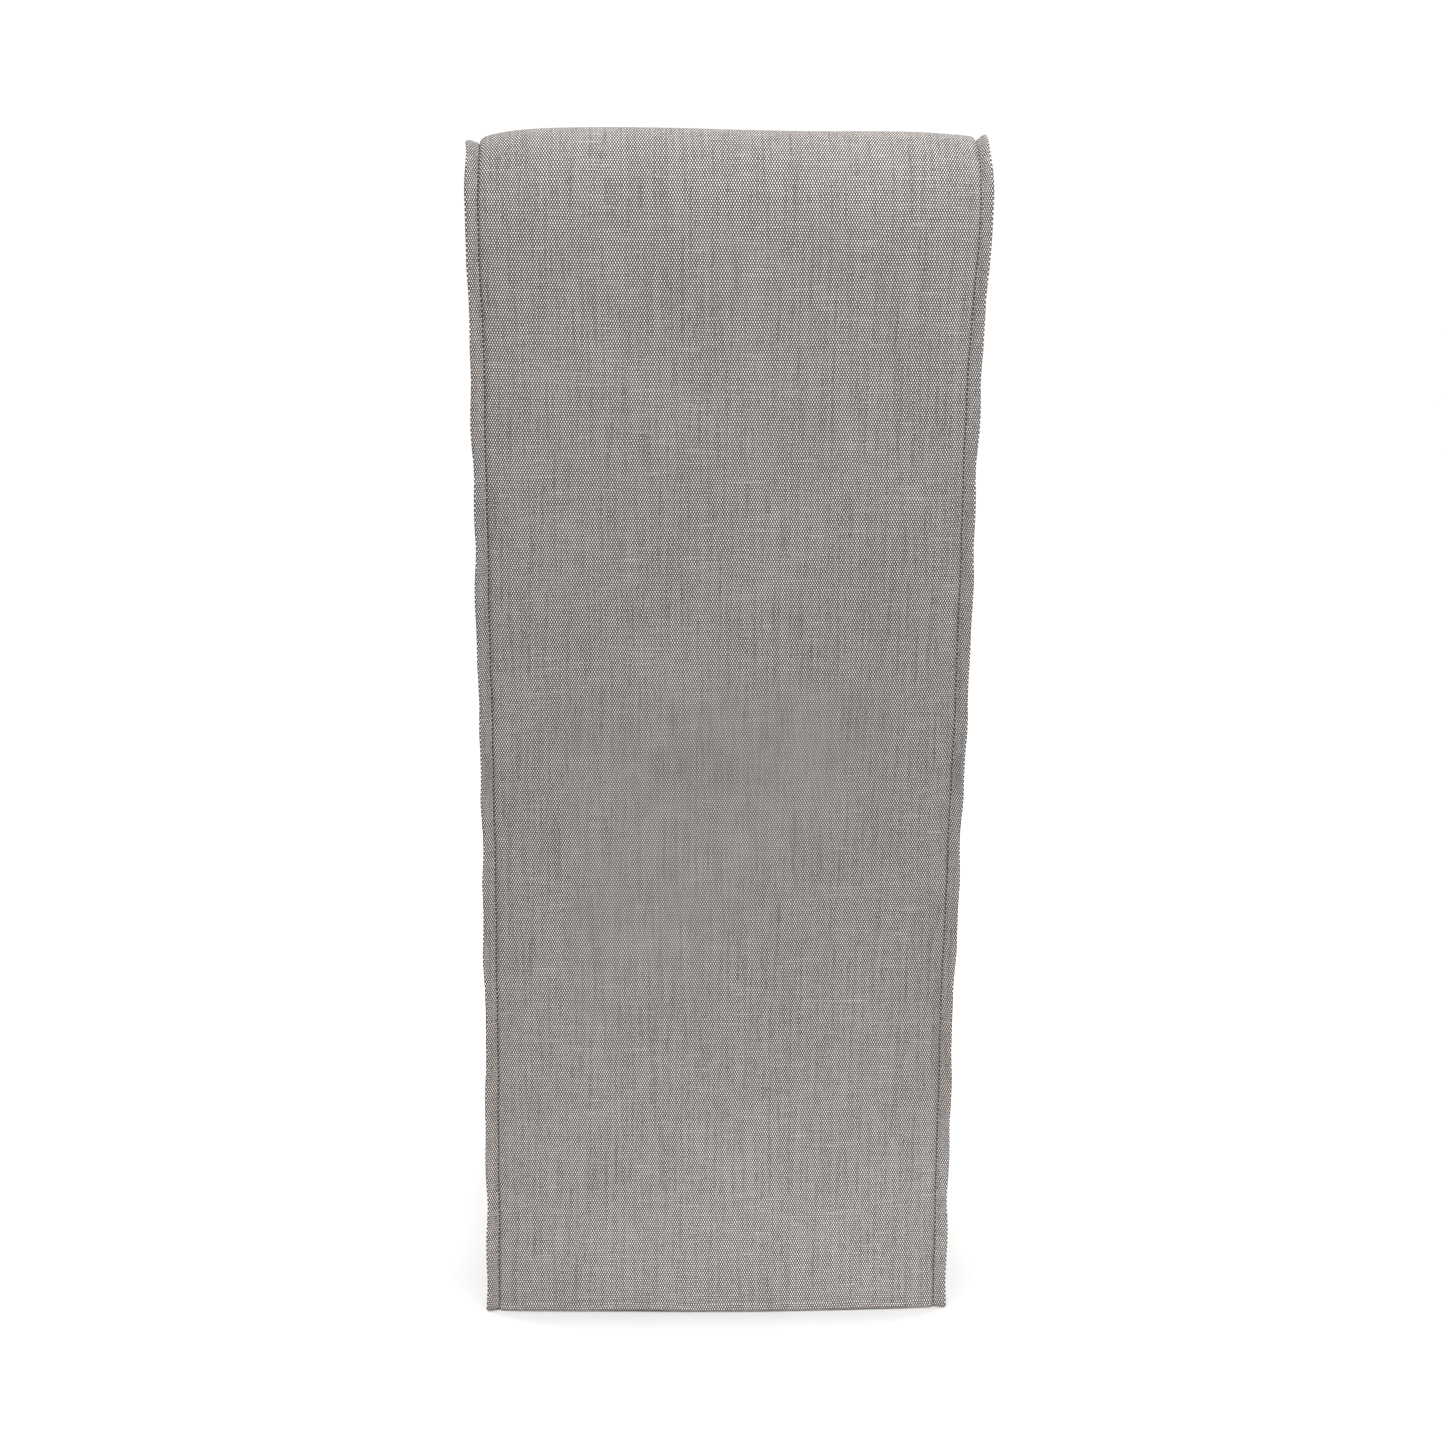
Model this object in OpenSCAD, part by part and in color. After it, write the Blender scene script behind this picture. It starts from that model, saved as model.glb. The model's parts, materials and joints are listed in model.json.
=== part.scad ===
// Slipcovered dining chair with a high raked back.
// A hardwood frame carries webbing, foam and a muslin undercover.
// A loose cover of flanged panels drops to the floor.
// The origin is on the floor in the middle of the chair. +Z is up and +Y is the way the sitter faces.

/* [Overall size] */
// Width over the flanges at the sides of the back
overall_width = 432; // [424:2:460]
// Height of the crest of the back above the floor
overall_height = 1080; // [1060:5:1100]
// Distance from the rear hem forward to the face of the front skirt
cover_depth = 510; // [490:5:540]
// Height of the seat above the floor
seat_height = 485; // [475:1:490]

/* [Back] */
// Distance that the back leans behind the rear hem
back_rake = 76; // [72:1:80]
// Thickness of the padded back just below its crest
crest_depth = 88; // [84:1:96]
// Thickness of the padded back where it meets the seat
waist_depth = 97; // [94:1:104]
// Distance that the rear panel hangs forward of its own hem
rear_bow = 12; // [8:1:14]

/* [Cover] */
// Thickness of one cover panel
cloth = 2.5; // [2:0.5:3]
// Width of a flange outside its seam
flange_width = 11; // [8:1:13]
// Thickness of a folded flange
flange_thick = 3; // [2:0.5:4]
// Gap between the hem and the floor
hem_gap = 3; // [2:1:6]
// Thickness of the muslin undercover
muslin = 1; // [0.8:0.1:1.2]
// Space between one soft layer and the next
layer_gap = 0.5; // [0.3:0.1:0.6]

/* [Frame] */
// Width of a rear post, side to side
post_width = 32; // [28:1:36]
// Depth of a rear post, rear to front
post_depth = 45; // [40:1:48]
// Distance from the rear hem forward to the rear posts
post_setback = 22; // [20:1:26]
// Side of a square front leg
leg_side = 42; // [38:1:46]
// Thickness of a seat rail
rail_thick = 25; // [20:1:28]
// Height of a seat rail
rail_height = 70; // [60:5:80]
// Thickness of a back rail
back_rail_thick = 22; // [18:1:24]
// Height of a back rail
back_rail_height = 55; // [45:5:60]
// Side of a corner block along each rail
block_side = 62; // [55:1:68]
// Height of a corner block
block_height = 34; // [30:1:40]
// Height of a corner block above the bottom of the rails
block_rise = 14; // [10:1:18]
// Distance from the rear of the posts forward to the back rails
back_rail_in = 6; // [4:1:10]
// Distance from the crest of the back down to the top of the posts
post_drop = 40; // [36:1:46]
// Share of the overall height at which the middle back rail starts
middle_rail_share = 0.69; // [0.64:0.01:0.74]
// Gap between the seat and the lowest back rail
lower_rail_gap = 22; // [16:2:40]

/* [Padding] */
// Thickness of the seat foam
seat_foam_thick = 62; // [56:1:66]
// Thickness of the batting at the sides of the frame
side_batting = 5; // [4:0.5:6]
// Distance that the seat foam passes the front rail
foam_overhang = 5; // [4:0.5:8]

/* [Fittings] */
// Radius of a glide
glide_radius = 12; // [10:1:14]
// Thickness of a glide's disc
glide_thick = 5; // [4:0.5:7]
// Radius of a glide's nail
nail_radius = 1.6; // [1.2:0.1:2]
// Length of a glide's nail
nail_length = 16; // [12:1:20]
// Radius of a joint dowel
dowel_radius = 4.5; // [4:0.5:5]
// Length of a joint dowel
dowel_length = 38; // [30:1:40]
// Radius of a block screw's shank
screw_radius = 2.2; // [1.8:0.1:2.5]
// Length of a block screw
screw_length = 40; // [34:1:44]
// Radius of a block screw's head
head_radius = 4.2; // [3.8:0.1:4.6]
// Height of a block screw's head
head_height = 3; // [2:0.5:4]
// Height of a block's screws above and below its middle
screw_stagger = 5; // [4:0.5:6]
// Width of a webbing strap
strap_width = 50; // [45:1:54]
// Thickness of a webbing strap
strap_thick = 1.5; // [1:0.1:2]
// Space between the outermost crosswise straps and the posts or the front
strap_margin = 5; // [4:1:10]
// Distance from the seat up to the lowest back strap, and from the post tops down to the highest
back_strap_margin = 20; // [16:2:30]

/* [Hidden] */
$fn = 48;

left = -1;
right = 1;
cut = 1;

// The cover's faces, and the frame inside it
body_half = overall_width / 2 - flange_width;
under_depth = cloth + layer_gap;
soft_depth = under_depth + muslin;
soft_half = body_half - soft_depth;
frame_half = soft_half - side_batting;
frame_front = cover_depth - soft_depth - foam_overhang;
seat_seam = seat_height - cloth;
rail_top = seat_height - soft_depth - seat_foam_thick - 2 * strap_thick - layer_gap;
rail_low = rail_top - rail_height;

// The middle of the chair from front to rear, measured forward of the rear hem
middle = (cover_depth + flange_width - back_rake) / 2;

// The crest is rounded by rear_round behind its highest line, and starts these distances down the two faces.
rear_round = 40;
rear_drop = 68;
front_drop = 52;
crest_y = rear_round - back_rake;
crest_front = crest_depth - back_rake;
crest_front_z = overall_height - front_drop;
shoulder_z = overall_height - rear_drop;
// Heights where the rear panel hangs straight, and where it leans least
fall_z = 0.21 * overall_height;
blade_z = 0.8 * overall_height;
blade_y = 16 - back_rake;

// Each stretch of the back's side outline is a curve with two ends and two handles,
// measured forward of the rear hem and up from the floor.
hem_curve = [[0, hem_gap], [9, 60], [rear_bow, 130], [rear_bow, fall_z]];
fall_curve = [[rear_bow, fall_z], [rear_bow, 340], [rear_bow, 410], [1, seat_seam]];
lean_curve = [[1, seat_seam], [-21, 600], [blade_y + 8, blade_z - 120], [blade_y, blade_z]];
neck_curve = [
    [blade_y, blade_z], [blade_y - 4, blade_z + 60], [-back_rake, shoulder_z - 52], [-back_rake, shoulder_z],
];
crest_rear = [
    [-back_rake, shoulder_z], [-back_rake, shoulder_z + 38],
    [crest_y - 22, overall_height], [crest_y, overall_height],
];
crest_fore = [
    [crest_y, overall_height], [crest_y + 26, overall_height],
    [crest_front - 2, crest_front_z + 30], [crest_front, crest_front_z],
];
inside_curve = [
    [crest_front, crest_front_z], [crest_front + 4, 960],
    [waist_depth - 14, 600], [waist_depth, seat_seam + layer_gap],
];
steps = [4, 5, 8, 5, 7, 7, 9];
curves = [hem_curve, fall_curve, lean_curve, neck_curve, crest_rear, crest_fore, inside_curve];

function bezier(c, t) =
    pow(1 - t, 3) * c[0] + 3 * t * pow(1 - t, 2) * c[1] + 3 * t * t * (1 - t) * c[2] + pow(t, 3) * c[3];
function sum_to(list, n) = n == 0 ? 0 : list[n - 1] + sum_to(list, n - 1);

// The back's outline from the rear hem, over the crest and down to the seat
outline = [
    for (i = [0:len(curves) - 1]) for (k = [0:steps[i] - 1]) bezier(curves[i], k / steps[i]),
    curves[len(curves) - 1][3],
];
last = len(outline) - 1;
waist_at = sum_to(steps, 2);
shoulder_at = sum_to(steps, 4);
inside_at = sum_to(steps, 6);

function along(i) = outline[min(i + 1, last)] - outline[max(i - 1, 0)];
function inward(i) = [along(i)[1], -along(i)[0]] / norm(along(i));
// Part of the outline, moved into the back by depth
function layer(depth, from, to) = [for (i = [from:to]) outline[i] + depth * inward(i)];
function backwards(list) = [for (i = [len(list) - 1:-1:0]) list[i]];

// A point on the rear posts' raked rear face, or forward of it
post_top = overall_height - post_drop;
post_bend = rail_top;
function raked(z, forward) =
    [post_setback - back_rake * (z - post_bend) / (post_top - post_bend) + forward, z];

// A plate whose outline is drawn forward of the rear hem and up, between two places across the chair
module plate(points, from, to) {
    translate([from, -middle, 0])
        rotate([90, 0, 90])
            linear_extrude(to - from)
                polygon(points);
}

// A plate on one side, from an inner to an outer distance across the chair
module side_plate(side, points, inner, outer) {
    plate(points, side == left ? -outer : inner, side == left ? -inner : outer);
}

// A block between two corners, measured across, forward of the rear hem and up
module block(low, high) {
    translate([low[0], low[1] - middle, low[2]])
        cube(high - low);
}

module side_block(side, low, high) {
    mirror([side == left ? 1 : 0, 0, 0])
        block(low, high);
}

// ---- Joint dowels and screws, which are also cut from the wood ----

side_rail_x = frame_half - rail_thick / 2;
dowel_shares = [0.25, 0.75];
leg_back = frame_front - leg_side;
post_front = post_setback + post_depth;
back_rail_lows = [
    post_top - back_rail_height, middle_rail_share * overall_height, seat_height + lower_rail_gap,
];

module dowel_across(side, x, y, z) {
    translate([side * x, y - middle, z])
        rotate([0, 90, 0])
            cylinder(r = dowel_radius, h = dowel_length, center = true);
}

module dowel_along(side, x, y, z) {
    translate([side * x, y - middle, z])
        rotate([90, 0, 0])
            cylinder(r = dowel_radius, h = dowel_length, center = true);
}

module dowels() {
    for (side = [left, right]) {
        for (share = dowel_shares) {
            z = rail_low + share * rail_height;
            dowel_along(side, side_rail_x, leg_back, z);
            dowel_along(side, side_rail_x, post_front, z);
            dowel_across(side, frame_half - leg_side, frame_front - rail_thick / 2, z);
            dowel_across(side, frame_half - post_width, post_setback + rail_thick / 2, z);
        }
        for (low = back_rail_lows, share = dowel_shares) {
            z = low + share * back_rail_height;
            dowel_across(side, frame_half - post_width, raked(z, back_rail_in + back_rail_thick / 2)[0], z);
        }
    }
}

block_z = rail_low + block_rise;
rail_inner_x = frame_half - rail_thick;
rail_inner_front = frame_front - rail_thick;
rail_inner_rear = post_setback + rail_thick;
block_screw_at = 0.52 * block_side;

// One screw with its head at the origin and its shank along +X
module screw(bore) {
    rotate([0, 90, 0])
        cylinder(r = screw_radius, h = screw_length);
    translate([-bore, 0, 0])
        rotate([0, 90, 0])
            cylinder(r = head_radius, h = head_height + bore);
}

// The two screws of one corner block, one into each rail
module block_screws(side, front, bore) {
    corner_y = front ? rail_inner_front : rail_inner_rear;
    inward_y = front ? -1 : 1;
    mirror([side == left ? 1 : 0, 0, 0])
        translate([rail_inner_x, corner_y - middle, block_z + block_height / 2]) {
            translate([-block_screw_at / 2, inward_y * block_screw_at, screw_stagger])
                screw(bore);
            translate([-block_screw_at, inward_y * block_screw_at / 2, -screw_stagger])
                rotate([0, 0, -inward_y * 90])
                    screw(bore);
        }
}

module all_block_screws(bore) {
    for (side = [left, right], front = [true, false])
        block_screws(side, front, bore);
}

// ---- Frame ----

wood_colour = "burlywood";

module rear_post(side) {
    color(wood_colour)
        difference() {
            side_plate(side, [
                [post_setback, glide_thick],
                [post_front, glide_thick],
                raked(post_bend, post_depth),
                raked(post_top, post_depth),
                raked(post_top, 0),
                raked(post_bend, 0),
            ], frame_half - post_width, frame_half);
            dowels();
            glide_nails();
            all_block_screws(0);
        }
}

module front_leg(side) {
    color(wood_colour)
        difference() {
            side_block(side, [frame_half - leg_side, leg_back, glide_thick],
                [frame_half, frame_front, rail_top]);
            dowels();
            glide_nails();
            all_block_screws(0);
        }
}

module seat_rail_front() {
    half = frame_half - leg_side;
    color(wood_colour)
        difference() {
            block([-half, rail_inner_front, rail_low], [half, frame_front, rail_top]);
            dowels();
            all_block_screws(0);
        }
}

module seat_rail_rear() {
    half = frame_half - post_width;
    color(wood_colour)
        difference() {
            block([-half, post_setback, rail_low], [half, rail_inner_rear, rail_top]);
            dowels();
            all_block_screws(0);
        }
}

module seat_rail_side(side) {
    color(wood_colour)
        difference() {
            side_block(side, [rail_inner_x, post_front, rail_low], [frame_half, leg_back, rail_top]);
            dowels();
            all_block_screws(0);
        }
}

module back_rail(low) {
    half = frame_half - post_width;
    high = low + back_rail_height;
    back = back_rail_in + back_rail_thick;
    color(wood_colour)
        difference() {
            plate([
                raked(low, back_rail_in), raked(low, back), raked(high, back), raked(high, back_rail_in),
            ], -half, half);
            dowels();
        }
}

// A corner block fits round the leg or post that stands in its corner
module corner_block(side, front) {
    corner_y = front ? rail_inner_front : rail_inner_rear;
    inward_y = front ? -1 : 1;
    post_in = front ? leg_back : post_front;
    post_x = front ? frame_half - leg_side : frame_half - post_width;
    color("tan")
        difference() {
            mirror([side == left ? 1 : 0, 0, 0])
                translate([rail_inner_x, corner_y - middle, block_z])
                    linear_extrude(block_height)
                        polygon([[0, 0], [-block_side, 0], [0, inward_y * block_side]]);
            side_block(side,
                [post_x, min(corner_y, post_in) - (front ? 0 : cut), block_z - cut],
                [frame_half, max(corner_y, post_in) + (front ? cut : 0), block_z + block_height + cut]);
            block_screws(side, front, block_side);
        }
}

// ---- Fittings ----

module glide_places() {
    for (side = [left, right]) {
        translate([side * (frame_half - leg_side / 2), frame_front - leg_side / 2 - middle, 0])
            children();
        translate([side * (frame_half - post_width / 2), post_setback + post_depth / 2 - middle, 0])
            children();
    }
}

module glide_nails() {
    glide_places()
        cylinder(r = nail_radius, h = glide_thick + nail_length);
}

module glides() {
    color("dimgray")
        glide_places() {
            cylinder(r = glide_radius, h = glide_thick);
            cylinder(r = nail_radius, h = glide_thick + nail_length);
        }
}

// ---- Webbing ----

strap_low = rail_top;
strap_reach = frame_half - post_width - strap_width / 2;

module seat_webbing_lengthwise() {
    color("peru")
        for (i = [-1.5:1:1.5]) {
            x = i * strap_reach * 2 / 3;
            block([x - strap_width / 2, post_setback, strap_low],
                [x + strap_width / 2, frame_front, strap_low + strap_thick]);
        }
}

module seat_webbing_crosswise() {
    low = strap_low + strap_thick;
    pitch = (frame_front - post_front - strap_width - 2 * strap_margin) / 4;
    color("peru")
        for (i = [0:4]) {
            y = post_front + strap_margin + i * pitch;
            block([-frame_half, y, low], [frame_half, y + strap_width, low + strap_thick]);
        }
}

module back_webbing() {
    pitch = (post_top - seat_height - 2 * back_strap_margin - strap_width) / 5;
    color("peru")
        for (i = [0:5]) {
            low = seat_height + back_strap_margin + i * pitch;
            high = low + strap_width;
            plate([
                raked(low, post_depth), raked(low, post_depth + strap_thick),
                raked(high, post_depth + strap_thick), raked(high, post_depth),
            ], -frame_half, frame_half);
        }
}

// ---- Padding ----

foam_colour = "khaki";
batting_colour = "whitesmoke";
back_foam_in = post_depth + strap_thick + layer_gap;

// The seat's padding starts just in front of the rear posts
pad_back = post_front + 1;

module seat_foam() {
    low = rail_top + 2 * strap_thick + layer_gap;
    color(foam_colour)
        block([-soft_half, pad_back, low], [soft_half, cover_depth - soft_depth, low + seat_foam_thick]);
}

module back_foam() {
    color(foam_colour)
        plate(concat(
            layer(soft_depth, inside_at, last),
            [raked(seat_seam, back_foam_in), raked(crest_front_z, back_foam_in)]
        ), -frame_half, frame_half);
}

module back_rear_padding() {
    color(batting_colour)
        plate(concat(
            layer(soft_depth, waist_at, shoulder_at),
            [raked(shoulder_z, -layer_gap), raked(seat_seam, -layer_gap)]
        ), -frame_half, frame_half);
}

module back_crest_padding() {
    color(batting_colour)
        plate(concat(
            layer(soft_depth, shoulder_at, inside_at),
            [
                raked(crest_front_z + layer_gap, back_foam_in),
                raked(post_top + layer_gap, back_foam_in),
                raked(post_top + layer_gap, -layer_gap),
                raked(shoulder_z + layer_gap, -layer_gap),
            ]
        ), -frame_half, frame_half);
}

module side_batting_pad(side) {
    color(batting_colour)
        side_plate(side, layer(soft_depth, waist_at, last), frame_half, soft_half);
}

// ---- Undercovers ----

muslin_colour = "ivory";

module seat_undercover() {
    top = seat_height - under_depth;
    half = soft_half + muslin;
    front = cover_depth - under_depth;
    color(muslin_colour)
        difference() {
            block([-half, pad_back, rail_low], [half, front, top]);
            block([-soft_half, post_front, rail_low - cut], [soft_half, front - muslin, top - muslin]);
        }
}

module back_undercover() {
    inner = layer(soft_depth, waist_at, last);
    opened = concat([inner[0] - [0, cut]], inner, [inner[len(inner) - 1] - [0, cut]]);
    half = soft_half + muslin;
    color(muslin_colour)
        difference() {
            plate(layer(under_depth, waist_at, last), -half, half);
            plate(opened, -soft_half, soft_half);
        }
}

// Distance from the frame's edges in to the dust cover, and its gap round the legs
dust_inset = 4;
leg_gap = 1;

module dust_cover() {
    half = frame_half - dust_inset;
    post_in = frame_half - post_width - leg_gap;
    leg_in = frame_half - leg_side - leg_gap;
    color("black")
        difference() {
            block([-half, post_setback + dust_inset, rail_low - muslin],
                [half, frame_front - dust_inset, rail_low]);
            for (side = [left, right]) {
                side_block(side, [post_in, 0, 0], [frame_half, post_front + leg_gap, rail_top]);
                side_block(side, [leg_in, leg_back - leg_gap, 0], [frame_half, cover_depth, rail_top]);
            }
        }
}

// ---- Cover ----

cover_colour = "#a09a96";
flange_low = seat_seam - flange_thick;
side_top = seat_seam - layer_gap;

module outside_back_panel() {
    color(cover_colour)
        plate(concat(layer(0, 0, inside_at), backwards(layer(cloth, 0, inside_at))),
            -body_half, body_half);
}

module inside_back_panel() {
    color(cover_colour)
        plate(concat(layer(0, inside_at, last), backwards(layer(cloth, inside_at, last))),
            -body_half, body_half);
}

module back_side_panel(side) {
    color(cover_colour)
        side_plate(side, layer(cloth, waist_at, last), body_half - cloth, body_half);
}

module seat_panel() {
    color(cover_colour)
        block([-body_half, waist_depth + layer_gap, seat_seam], [body_half, cover_depth, seat_height]);
}

module skirt_front() {
    color(cover_colour)
        block([-body_half, cover_depth - cloth, hem_gap], [body_half, cover_depth, side_top]);
}

module skirt_side(side) {
    rear = [for (p = layer(under_depth, 0, waist_at)) if (p[1] < side_top) p];
    color(cover_colour)
        side_plate(side, concat(
            rear,
            [[layer(under_depth, waist_at, waist_at)[0][0], side_top]],
            [[cover_depth - cloth, side_top], [cover_depth - cloth, hem_gap]]
        ), body_half - cloth, body_half);
}

module back_flange(side) {
    color(cover_colour)
        side_plate(side, concat(layer(0, 0, last), backwards(layer(flange_thick, 0, last))),
            body_half, body_half + flange_width);
}

module seat_flange_side(side) {
    color(cover_colour)
        side_block(side, [body_half, waist_depth + layer_gap, flange_low],
            [body_half + flange_width, cover_depth - layer_gap, seat_seam]);
}

module seat_flange_front() {
    half = body_half + flange_width;
    color(cover_colour)
        block([-half, cover_depth, flange_low], [half, cover_depth + flange_width, seat_seam]);
}

module corner_flange(side) {
    color(cover_colour)
        side_block(side, [body_half, cover_depth - flange_thick, hem_gap],
            [body_half + flange_width, cover_depth, flange_low - layer_gap]);
}

rear_post(left);  // rear_post_left
rear_post(right);  // rear_post_right
front_leg(left);  // front_leg_left
front_leg(right);  // front_leg_right
seat_rail_front();
seat_rail_rear();
seat_rail_side(left);  // seat_rail_left
seat_rail_side(right);  // seat_rail_right
back_rail(back_rail_lows[0]);  // back_rail_top
back_rail(back_rail_lows[1]);  // back_rail_middle
back_rail(back_rail_lows[2]);  // back_rail_lower
corner_block(left, true);  // corner_block_front_left
corner_block(right, true);  // corner_block_front_right
corner_block(left, false);  // corner_block_rear_left
corner_block(right, false);  // corner_block_rear_right
color("wheat") dowels();  // frame_dowels
color("silver") all_block_screws(0);  // corner_block_screws
glides();
seat_webbing_lengthwise();
seat_webbing_crosswise();
back_webbing();
seat_foam();
back_foam();
back_rear_padding();
back_crest_padding();
side_batting_pad(left);  // side_batting_left
side_batting_pad(right);  // side_batting_right
seat_undercover();
back_undercover();
dust_cover();
outside_back_panel();
inside_back_panel();
back_side_panel(left);  // back_side_panel_left
back_side_panel(right);  // back_side_panel_right
seat_panel();
skirt_front();
skirt_side(left);  // skirt_left
skirt_side(right);  // skirt_right
back_flange(left);  // back_flange_left
back_flange(right);  // back_flange_right
seat_flange_side(left);  // seat_flange_left
seat_flange_front();
seat_flange_side(right);  // seat_flange_right
corner_flange(left);  // corner_flange_left
corner_flange(right);  // corner_flange_right
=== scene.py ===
import json
import math

import bpy
import numpy as np
from mathutils import Matrix, Vector

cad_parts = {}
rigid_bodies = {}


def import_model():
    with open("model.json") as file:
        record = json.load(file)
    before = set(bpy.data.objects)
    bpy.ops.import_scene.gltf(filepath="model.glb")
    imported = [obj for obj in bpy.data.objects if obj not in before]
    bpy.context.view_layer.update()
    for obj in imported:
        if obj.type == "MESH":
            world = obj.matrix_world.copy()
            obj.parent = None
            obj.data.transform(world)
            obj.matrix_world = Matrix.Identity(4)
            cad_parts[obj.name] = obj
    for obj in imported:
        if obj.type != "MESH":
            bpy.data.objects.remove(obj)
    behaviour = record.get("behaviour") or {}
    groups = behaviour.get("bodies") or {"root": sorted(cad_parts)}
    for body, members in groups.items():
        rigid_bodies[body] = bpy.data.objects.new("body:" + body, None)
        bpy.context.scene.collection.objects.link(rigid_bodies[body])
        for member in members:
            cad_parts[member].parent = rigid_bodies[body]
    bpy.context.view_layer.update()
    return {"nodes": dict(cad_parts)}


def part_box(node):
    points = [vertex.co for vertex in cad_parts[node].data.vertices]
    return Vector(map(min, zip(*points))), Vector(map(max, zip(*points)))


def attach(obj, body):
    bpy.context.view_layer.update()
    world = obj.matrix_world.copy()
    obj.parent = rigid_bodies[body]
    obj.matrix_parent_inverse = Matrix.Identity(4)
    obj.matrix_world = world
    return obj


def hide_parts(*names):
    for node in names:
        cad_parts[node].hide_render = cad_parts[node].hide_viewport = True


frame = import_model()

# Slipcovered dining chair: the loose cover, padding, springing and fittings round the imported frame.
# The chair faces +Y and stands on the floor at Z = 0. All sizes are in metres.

MM = 0.001
nodes = frame["nodes"]

# ---- Places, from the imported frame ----

panel_low, panel_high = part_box("outside_back_panel")
front_low, front_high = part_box("skirt_front")

RAKE = 76 * MM
HALF = panel_high.x
HEM_Y = panel_low.y + RAKE
FRONT_Y = front_high.y
HEM_Z = front_low.z - 2.6 * MM
SEAT_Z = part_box("seat_panel")[1].z
SEAM_Z = SEAT_Z - 7 * MM
SIDES = {"left": -1, "right": 1}

# The padded back from the side: each stretch is two ends and two handles, in millimetres forward of
# the rear hem and up from the floor. It climbs the outside back, crosses the crest, comes down to the seat
# and tucks in behind it.
OUTLINE = [
    [(0, 1), (9, 60), (12, 130), (12, 227)],
    [(12, 227), (12, 340), (12, 410), (1, 483)],
    [(1, 483), (-21, 600), (-52, 744), (-60, 864)],
    [(-60, 864), (-64, 924), (-76, 960), (-76, 1012)],
    [(-76, 1012), (-76, 1050), (-58, 1080), (-36, 1080)],
    [(-36, 1080), (-10, 1080), (10, 1058), (12, 1028)],
    [(12, 1028), (16, 960), (83, 600), (97, 483)],
    [(97, 483), (98, 478), (98, 474), (99, 466)],
]
CURVE_STEPS = 80


def bezier(points, t):
    p = np.array(points, float)
    weights = np.stack([(1 - t) ** 3, 3 * t * (1 - t) ** 2, 3 * t * t * (1 - t), t**3], axis=1)
    return weights @ p


def measure_outline():
    """The outline's points, their distance along it, and the distance at which each stretch ends."""
    t = np.linspace(0, 1, CURVE_STEPS + 1)
    parts = [bezier(OUTLINE[0], t)] + [bezier(c, t)[1:] for c in OUTLINE[1:]]
    points = np.concatenate(parts) * MM + (HEM_Y, 0)
    run = np.concatenate([[0], np.cumsum(np.linalg.norm(np.diff(points, axis=0), axis=1))])
    ends = [run[CURVE_STEPS * (i + 1)] for i in range(len(OUTLINE))]
    return points, run, ends


outline, outline_run, stretch_ends = measure_outline()
tangent = np.gradient(outline, outline_run, axis=0)
tangent /= np.linalg.norm(tangent, axis=1, keepdims=True)
S_FALL, S_WAIST, S_BLADE, S_SHOULDER, S_CREST, S_TOP_SEAM, S_SEAT, S_TUCK = stretch_ends


def on_outline(s):
    """(y, z) and the outward normal's (y, z) at distances s along the outline."""
    at = np.stack([np.interp(s, outline_run, outline[:, k]) for k in (0, 1)], axis=-1)
    along = np.stack([np.interp(s, outline_run, tangent[:, k]) for k in (0, 1)], axis=-1)
    out = np.stack([-along[..., 1], along[..., 0]], axis=-1)
    return at, out / np.linalg.norm(out, axis=-1, keepdims=True)


def eased(x, knots, values):
    """Values that run smoothly from one knot to the next and are level at each."""
    i = np.clip(np.searchsorted(knots, x, side="right") - 1, 0, len(knots) - 2)
    k, v = np.array(knots, float), np.array(values, float)
    t = np.clip((x - k[i]) / (k[i + 1] - k[i]), 0, 1)
    return v[i] + (v[i + 1] - v[i]) * t * t * (3 - 2 * t)


def ripple(a, b, waves):
    """A sum of sines over two distances. Each wave is height, cycles per metre along each, and phase."""
    return sum(h * np.sin(2 * math.pi * (ka * a + kb * b) + phase) for h, ka, kb, phase in waves)


# ---- How the padded back fills its cover ----

PINCH = 4.2 * MM
PINCH_REACH = 1.6 * MM
DROP_KNOTS = [0, S_FALL, S_WAIST, S_BLADE, S_SHOULDER, S_CREST, S_TOP_SEAM + 0.06, S_SEAT]
DROP = np.array([1.5, 2.5, 3, 4, 7, 9, 6, 5]) * MM
CREST_REACH = 0.07
CREST_LOW = 1.6 * MM
CREST_WAVE = 1.0 * MM
RIGHT_CREST_RISE = 5.0 * MM
ROUNDNESS = [16, 14, 12, 10, 9, 8, 7, 6]
FULLNESS = np.array([0, 1, 0, 0, 0, 0, 4, 8]) * MM
FLARE = {
    -1: np.array([0.5, 0, 0, 0.6, 3.6, 3.2, 2, 0]) * MM,
    1: np.array([-1, 0, 2.2, -1, 4.6, 3.2, 2, 0]) * MM,
}
FLANGE_WIDTH = np.array([13, 13, 13, 12.7, 12, 12.8, 11.4, 11.4]) * MM
FLANGE_TILT = {
    -1: np.radians([33, 33, 33, 33, 32, 30, 28, 30]),
    1: np.radians([33, 33, 33, 33, 34, 52, 32, 30]),
}
HEM_BOW = 4.5 * MM
HEM_BOW_RISE = 0.11
SAG = [(0.7 * MM, 1.3, 1.9, 0.4), (0.5 * MM, -2.1, 3.1, 2.0), (0.35 * MM, 4.3, 1.2, 1.1)]
FLANGE_WAVES = [(0.5 * MM, 0, 6.1, 0.3), (0.35 * MM, 0, 14.3, 1.9), (0.2 * MM, 0, 27, 0.7)]


def half_width(s, side):
    wobble = ripple(0, s + 0.13 * side, FLANGE_WAVES) * 0.5
    return HALF + eased(s, DROP_KNOTS, FLARE[side]) + wobble


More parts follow.
